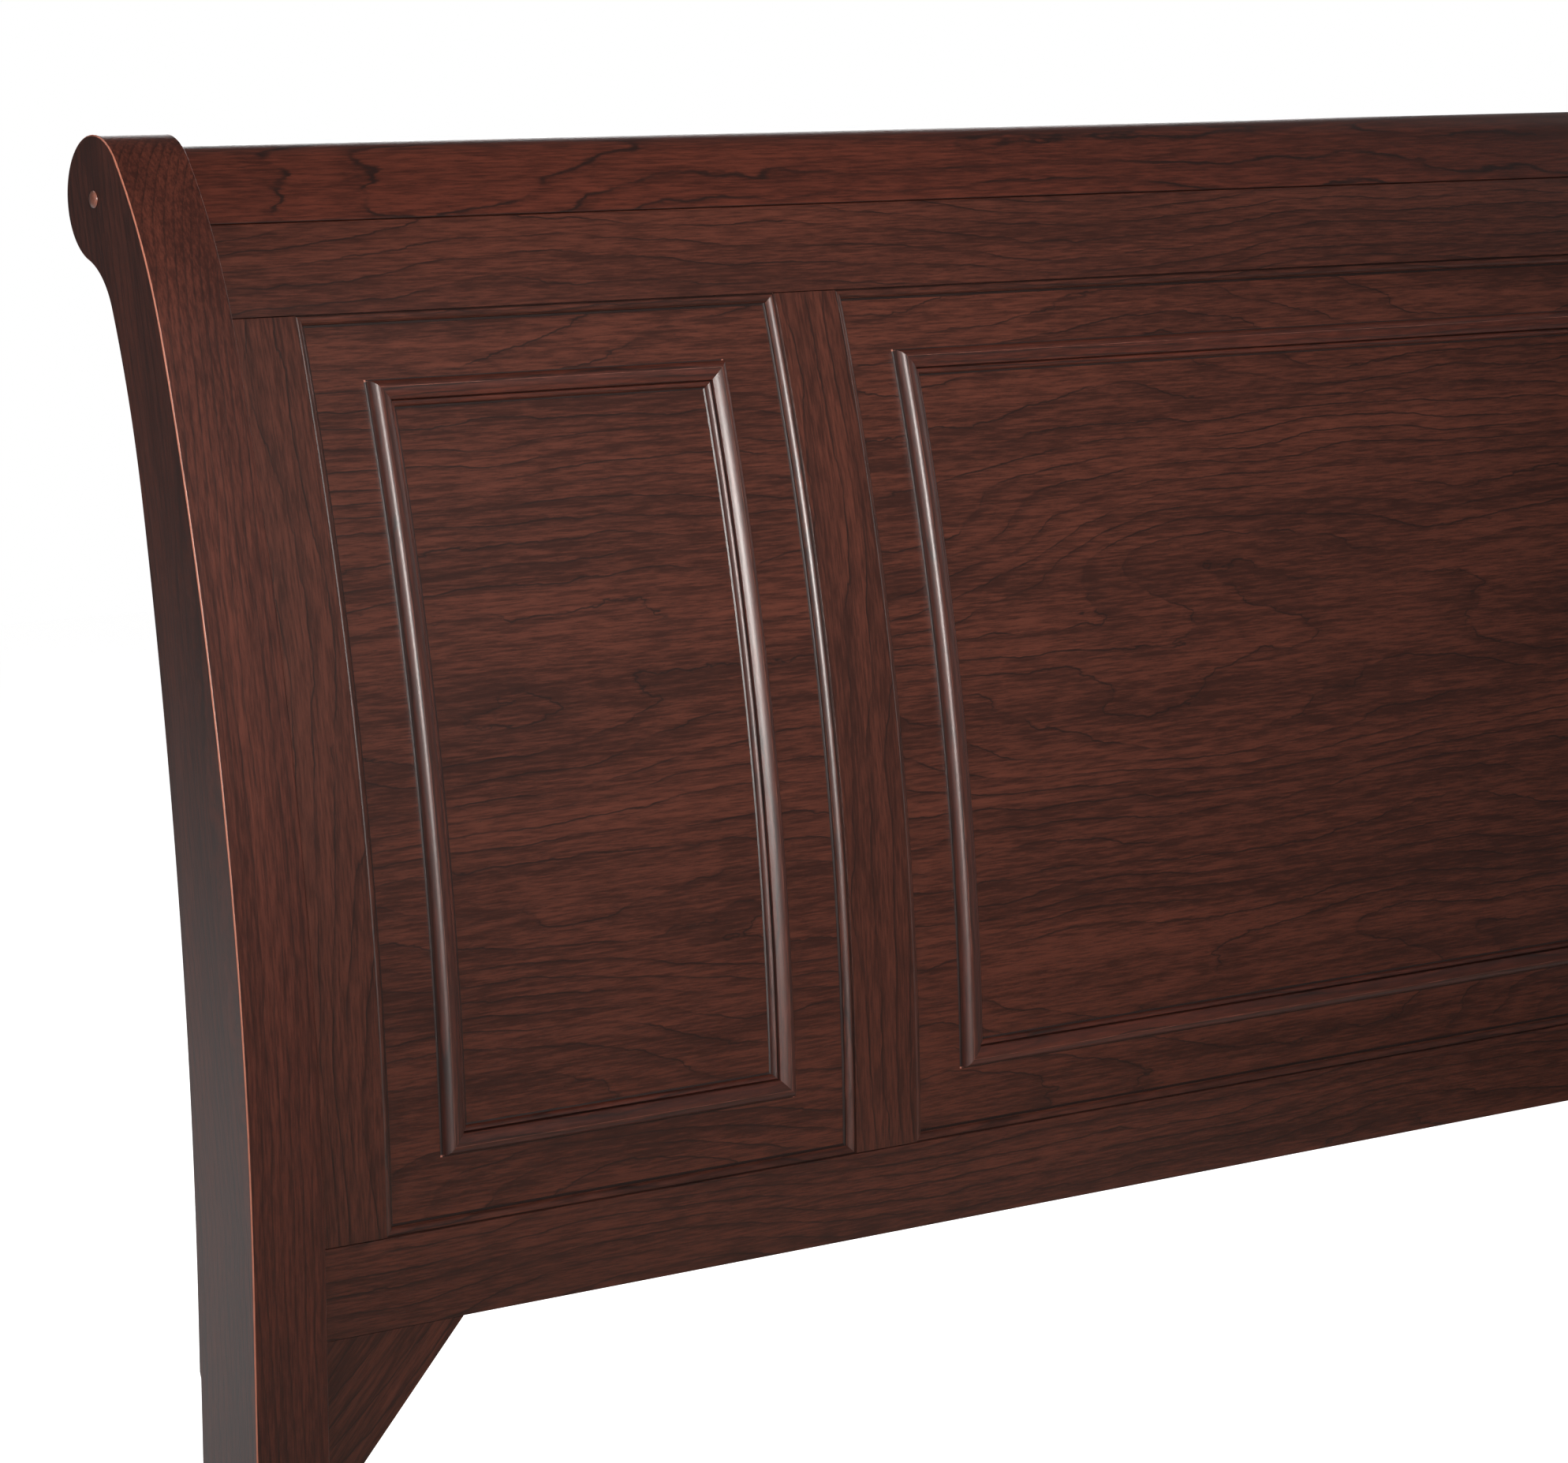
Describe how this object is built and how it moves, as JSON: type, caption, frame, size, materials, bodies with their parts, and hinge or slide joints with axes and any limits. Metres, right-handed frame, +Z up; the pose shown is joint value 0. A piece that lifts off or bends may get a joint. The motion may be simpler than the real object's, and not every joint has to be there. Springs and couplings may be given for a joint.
{
  "type": "sleigh bed",
  "caption": "Queen sleigh bed in dark cherry: scroll-topped curved headboard and footboard with moulded panels, hook-on side rails, slats on ledgers and centre legs.",
  "frame": {"origin": "on the floor, in the middle of the bed's bounding box", "axes": "+X across the bed to its right as seen from the foot, +Y to the headboard, +Z up"},
  "size_m": [1.6646, 2.4247, 1.2198],
  "materials": {
    "cherry": "satin dark reddish-brown cherry with fine dark grain",
    "cherry_roll": "satin redder cherry",
    "cherry_moulding": "semi-gloss dark cherry with edges rubbed lighter",
    "cherry_plug": "semi-gloss lighter reddish tan",
    "slat_wood": "plain sawn softwood",
    "hook_steel": "zinc-plated pressed steel",
    "foot_plastic": "black moulded pad on a steel stud"
  },
  "bodies": {
    "frame": {"centre_leg_foot": "slat_wood", "centre_leg_head": "slat_wood", "foot_lower_rail": "cherry", "foot_mullion_left": "cherry", "foot_mullion_right": "cherry", "foot_panel_centre": "cherry", "foot_panel_centre_moulding": "cherry_moulding", "foot_panel_left": "cherry", "foot_panel_left_moulding": "cherry_moulding", "foot_panel_right": "cherry", "foot_panel_right_moulding": "cherry_moulding", "foot_post_left": "cherry", "foot_post_right": "cherry", "foot_stile_left": "cherry", "foot_stile_right": "cherry", "foot_top_roll": "cherry_roll", "foot_upper_rail": "cherry", "head_brace_left": "cherry", "head_brace_right": "cherry", "head_lower_rail": "cherry", "head_mullion_left": "cherry", "head_mullion_right": "cherry", "head_panel_centre": "cherry", "head_panel_centre_moulding_bottom": "cherry_moulding", "head_panel_centre_moulding_left": "cherry_moulding", "head_panel_centre_moulding_right": "cherry_moulding", "head_panel_centre_moulding_top": "cherry_moulding", "head_panel_left": "cherry", "head_panel_left_moulding_bottom": "cherry_moulding", "head_panel_left_moulding_left": "cherry_moulding", "head_panel_left_moulding_right": "cherry_moulding", "head_panel_left_moulding_top": "cherry_moulding", "head_panel_right": "cherry", "head_panel_right_moulding_bottom": "cherry_moulding", "head_panel_right_moulding_left": "cherry_moulding", "head_panel_right_moulding_right": "cherry_moulding", "head_panel_right_moulding_top": "cherry_moulding", "head_plug_left": "cherry_plug", "head_plug_right": "cherry_plug", "head_post_left": "cherry", "head_post_right": "cherry", "head_stile_left": "cherry", "head_stile_right": "cherry", "head_top_roll": "cherry_roll", "head_upper_rail": "cherry", "rail_hook_foot_left": "hook_steel", "rail_hook_foot_right": "hook_steel", "rail_hook_head_left": "hook_steel", "rail_hook_head_right": "hook_steel", "side_rail_left": "cherry", "side_rail_right": "cherry", "slat_1": "slat_wood", "slat_2": "slat_wood", "slat_3": "slat_wood", "slat_4": "slat_wood", "slat_ledger_left": "slat_wood", "slat_ledger_right": "slat_wood"},
    "foot_pad_head": {"levelling_foot_head": "foot_plastic"},
    "foot_pad_foot": {"levelling_foot_foot": "foot_plastic"}
  },
  "joints": [
    {"name": "levelling_head", "type": "slide", "parent": "frame", "child": "foot_pad_head", "axis": [0, 0, 1], "range_m": [0, 0.015]},
    {"name": "levelling_foot", "type": "slide", "parent": "frame", "child": "foot_pad_foot", "axis": [0, 0, 1], "range_m": [0, 0.015]}
  ]
}
